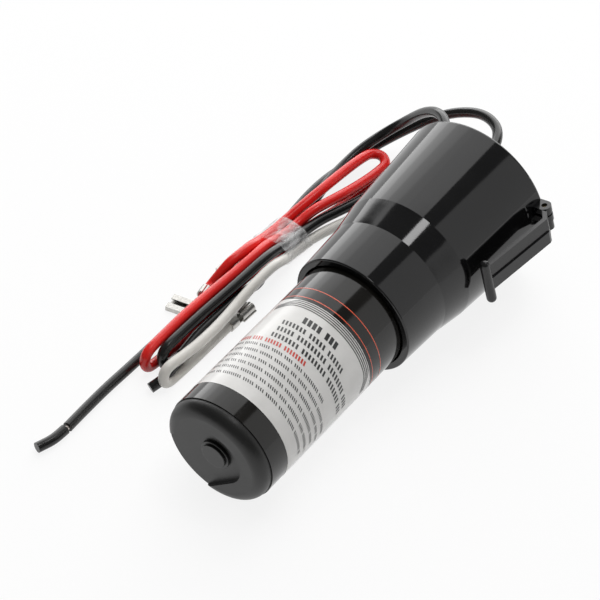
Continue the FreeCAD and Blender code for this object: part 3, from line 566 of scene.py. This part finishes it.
def tape():
    """The tape lies on the strands that it holds."""
    picks = random.Random(11)
    waves = [
        (picks.uniform(*CREASE_WAVES), picks.uniform(*CREASE_PHASE), picks.uniform(*CREASE_TWIST))
        for _ in range(CREASE_COUNT)
    ]

    def film_point(u, v):
        """A point of the film, u round it and v along it."""
        point = loop_point(TAPE_OUTLINE_LOW, u).lerp(loop_point(TAPE_OUTLINE_HIGH, u), v)
        crease = sum(math.sin(math.tau * k * u + phase + m * v) for k, phase, m in waves) * CREASE_DEPTH
        z = max(point.y + crease, TAPE_REST)
        waver = END_WAVER * math.sin(END_WAVES * u) * (2 * v - 1)
        x = TAPE_LOW + (TAPE_HIGH - TAPE_LOW) * v + waver * MM
        return x, (point.x + crease) * MM, z * MM

    def fill(bm):
        grid = []
        for j in range(TAPE_ALONG + 1):
            row = [bm.verts.new(film_point(i / TAPE_AROUND, j / TAPE_ALONG)) for i in range(TAPE_AROUND)]
            grid.append(row)
        for low, high in zip(grid, grid[1:]):
            for i in range(TAPE_AROUND):
                k = (i + 1) % TAPE_AROUND
                bm.faces.new((low[i], low[k], high[k], high[i]))

    piece = add_mesh("hank_tape_film", fill, tape_material())
    wall = piece.modifiers.new("wall", "SOLIDIFY")
    wall.thickness = TAPE_WALL
    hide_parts("hank_tape")


# Studio: a plain floor, windows and lamps, and a faint world

FLOOR_SIZE = 6
FLOOR_COLOUR = (0.93, 0.93, 0.93, 1)
FLOOR_GLOW = 0.86
WORLD_LIGHT = 0.13
WHITE = (1, 1, 1, 1)


def calculate(tree, operation, first, second):
    """A math node's result. The second value is a socket or a number."""
    node = tree.nodes.new("ShaderNodeMath")
    node.operation = operation
    tree.links.new(first, node.inputs[0])
    if isinstance(second, float):
        node.inputs[1].default_value = second
    else:
        tree.links.new(second, node.inputs[1])
    return node.outputs[0]


def floor():
    """A wide plain floor at the bench's height. To the camera and to gloss most of it is plain white."""
    bpy.ops.mesh.primitive_plane_add(size=FLOOR_SIZE, location=(0, 0, 0))
    plane = bpy.context.object
    plane.name = "floor"
    mat, tree, shader = material("floor")
    shader.inputs["Base Color"].default_value = FLOOR_COLOUR
    shader.inputs["Roughness"].default_value = 0.9
    shader.inputs["Specular IOR Level"].default_value = 0.0
    glow = tree.nodes.new("ShaderNodeEmission")
    glow.inputs["Color"].default_value = WHITE
    glow.inputs["Strength"].default_value = 1.0
    path = tree.nodes.new("ShaderNodeLightPath")
    seen = calculate(tree, "MAXIMUM", path.outputs["Is Camera Ray"], path.outputs["Is Glossy Ray"])
    seen = calculate(tree, "MAXIMUM", seen, path.outputs["Is Transmission Ray"])
    share = calculate(tree, "MULTIPLY", seen, FLOOR_GLOW)
    mix = tree.nodes.new("ShaderNodeMixShader")
    tree.links.new(share, mix.inputs["Fac"])
    tree.links.new(shader.outputs["BSDF"], mix.inputs[1])
    tree.links.new(glow.outputs["Emission"], mix.inputs[2])
    tree.links.new(mix.outputs["Shader"], tree.nodes["Material Output"].inputs["Surface"])
    plane.data.materials.append(mat)


def world():
    """A faint even light from all round."""
    scene_world = bpy.data.worlds.new("studio")
    bpy.context.scene.world = scene_world
    scene_world.use_nodes = True
    back = scene_world.node_tree.nodes["Background"]
    back.inputs["Color"].default_value = WHITE
    back.inputs["Strength"].default_value = WORLD_LIGHT


def lamp(name, place, target, size, power, in_gloss):
    """A soft lamp at place, aimed at target. Gloss mirrors it if in_gloss is True."""
    data = bpy.data.lights.new(name, "AREA")
    data.shape = "RECTANGLE"
    data.size = size[0]
    data.size_y = size[1]
    data.energy = power
    item = bpy.data.objects.new(name, data)
    item.location = place
    item.rotation_euler = (Vector(target) - Vector(place)).to_track_quat("-Z", "Y").to_euler()
    item.visible_glossy = in_gloss
    bpy.context.scene.collection.objects.link(item)


# The left window, in metres: parts of one width that stand on the floor one behind the other, each
# with its height and power, so that the window fades upwards
WINDOW_PARTS = [(2.3, 26.0), (1.5, 4.6), (1.0, 4.4), (0.55, 3.0)]
WINDOW_X = 1.0
WINDOW_Y = 1.1
WINDOW_WIDTH = 2.4
WINDOW_STEP = 0.005

# Other lamps: name, place, target, size, power, and whether gloss mirrors them
BENCH = (0, 0, 0.02)
LAMPS = [
    ("window_right", (1.0, -2.05, 1.2), (0, -2.05, 1.2), (2.3, 2.4), 12, True),
    ("top", (0.29, -0.21, 1.2), BENCH, (0.22, 0.19), 1.1, True),
    ("sky", (0.2, 0.1, 1.2), BENCH, (1.0, 1.0), 7.5, False),
]


def lamps():
    """A wide left window that fades upwards, a dim right one, a small high lamp and a soft sky."""
    for i, (height, power) in enumerate(WINDOW_PARTS):
        middle = height / 2
        place = (WINDOW_X + WINDOW_STEP * i, WINDOW_Y, middle)
        lamp(f"window_left_{i + 1}", place, (0, WINDOW_Y, middle), (WINDOW_WIDTH, height), power, True)
    for details in LAMPS:
        lamp(*details)


def camera():
    """The viewpoint: a long lens above the foot's side."""
    e = CAMERA_ELEVATION
    look = Vector((
        math.cos(e) * math.cos(CAMERA_HEADING),
        math.cos(e) * math.sin(CAMERA_HEADING),
        -math.sin(e),
    ))
    data = bpy.data.cameras.new("camera")
    data.lens = CAMERA_LENS
    data.sensor_width = 36.0
    data.clip_start = 0.01
    data.clip_end = 20
    item = bpy.data.objects.new("camera", data)
    item.location = CAMERA_TARGET - look * CAMERA_DISTANCE
    item.rotation_euler = look.to_track_quat("-Z", "Y").to_euler()
    bpy.context.scene.collection.objects.link(item)
    bpy.context.scene.camera = item


camera()
dress_nodes()
label_print()
leads()
tape()
floor()
world()
lamps()
bpy.context.scene.view_settings.view_transform = "Standard"
